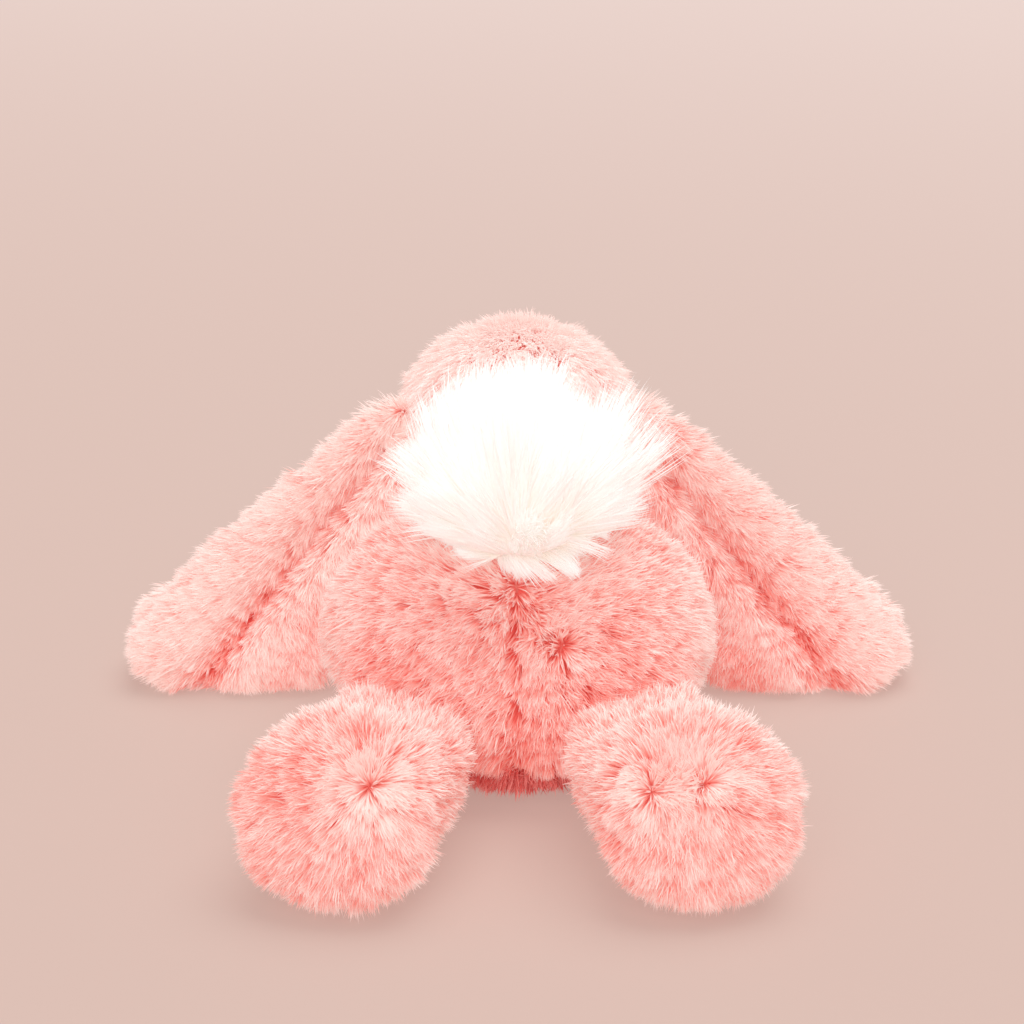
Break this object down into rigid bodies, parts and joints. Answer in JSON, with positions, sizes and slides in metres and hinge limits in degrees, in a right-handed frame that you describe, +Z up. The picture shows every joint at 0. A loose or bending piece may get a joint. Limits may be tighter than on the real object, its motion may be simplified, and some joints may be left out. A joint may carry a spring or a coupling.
{
  "type": "plush bunny",
  "caption": "Long-pile plush bunny lying on its belly, with lop ears draped to the floor, sewn limbs that lift and a long-haired tail.",
  "frame": {"origin": "on the floor, under the middle of the whole toy", "axes": "+Z up, +Y towards the nose, +X to the toy's right when it is seen from behind, across the ears"},
  "size_m": [0.392, 0.3669, 0.1799],
  "materials": {
    "pink_pile": "long-pile faux fur, coral roots and pale pink tips",
    "sole_pile": "long-pile faux fur that radiates from the middle of the sole",
    "ear_lining": "pile of the ear's inner face, a little shorter",
    "white_pile": "long straight white faux fur",
    "fibre_filling": "loose polyester fibre",
    "pellet_cloth": "plain woven bag with pellets",
    "sewing_thread": "twisted sewing thread",
    "embroidery": "satin-stitched thread",
    "eye_plastic": "polished black dome",
    "washer_plastic": "plain moulded lock washer"
  },
  "bodies": {
    "torso": {"rump_left_panel": "pink_pile", "rump_right_panel": "pink_pile", "belly_panel": "pink_pile", "torso_filling": "fibre_filling", "pellet_bag": "pellet_cloth", "neck_seam_thread": "sewing_thread"},
    "head": {"head_left_panel": "pink_pile", "head_right_panel": "pink_pile", "head_gusset": "pink_pile", "head_filling": "fibre_filling", "left_eye": "eye_plastic", "right_eye": "eye_plastic", "left_eye_washer": "washer_plastic", "right_eye_washer": "washer_plastic", "nose_stitching": "embroidery", "mouth_stitching": "embroidery"},
    "left_ear": {"left_ear_back": "pink_pile", "left_ear_lining": "ear_lining", "left_ear_seam_thread": "sewing_thread"},
    "right_ear": {"right_ear_back": "pink_pile", "right_ear_lining": "ear_lining", "right_ear_seam_thread": "sewing_thread"},
    "left_arm": {"left_arm_sleeve": "pink_pile", "left_arm_filling": "fibre_filling", "left_arm_seam_thread": "sewing_thread"},
    "right_arm": {"right_arm_sleeve": "pink_pile", "right_arm_filling": "fibre_filling", "right_arm_seam_thread": "sewing_thread"},
    "left_leg": {"left_leg_sleeve": "pink_pile", "left_foot_sole": "sole_pile", "left_leg_filling": "fibre_filling", "left_leg_seam_thread": "sewing_thread"},
    "right_leg": {"right_leg_sleeve": "pink_pile", "right_foot_sole": "sole_pile", "right_leg_filling": "fibre_filling", "right_leg_seam_thread": "sewing_thread"},
    "tail": {"tail_cover": "white_pile", "tail_filling": "fibre_filling", "tail_seam_thread": "sewing_thread"}
  },
  "joints": [
    {"name": "head_nod", "type": "hinge", "parent": "torso", "child": "head", "pos_m": [0, 0.1035, 0.106], "axis": [1, 0, 0], "range_deg": [-10, 12], "stiffness_Nm_per_rad": 0.6},
    {"name": "left_ear_lift", "type": "hinge", "parent": "head", "child": "left_ear", "pos_m": [-0.062, 0.07852, 0.118], "axis": [0, 0.9063, -0.4226], "range_deg": [0, 90]},
    {"name": "right_ear_lift", "type": "hinge", "parent": "head", "child": "right_ear", "pos_m": [0.062, 0.07852, 0.118], "axis": [0, -0.9063, 0.4226], "range_deg": [0, 90]},
    {"name": "left_arm_lift", "type": "hinge", "parent": "torso", "child": "left_arm", "pos_m": [-0.05, 0.0745, 0.027], "axis": [0.7431, 0.6691, 0], "range_deg": [0, 30]},
    {"name": "right_arm_lift", "type": "hinge", "parent": "torso", "child": "right_arm", "pos_m": [0.05, 0.0745, 0.027], "axis": [0.7431, -0.6691, 0], "range_deg": [0, 30]},
    {"name": "left_leg_lift", "type": "hinge", "parent": "torso", "child": "left_leg", "pos_m": [-0.052, -0.0838, 0.048], "axis": [-0.9848, 0.1736, 0], "range_deg": [0, 35]},
    {"name": "right_leg_lift", "type": "hinge", "parent": "torso", "child": "right_leg", "pos_m": [0.052, -0.0838, 0.048], "axis": [-0.9848, -0.1736, 0], "range_deg": [0, 35]},
    {"name": "tail_wag", "type": "hinge", "parent": "torso", "child": "tail", "pos_m": [0, -0.0515, 0.12], "axis": [0, 0.9511, 0.309], "range_deg": [-12, 12], "stiffness_Nm_per_rad": 0.06}
  ]
}
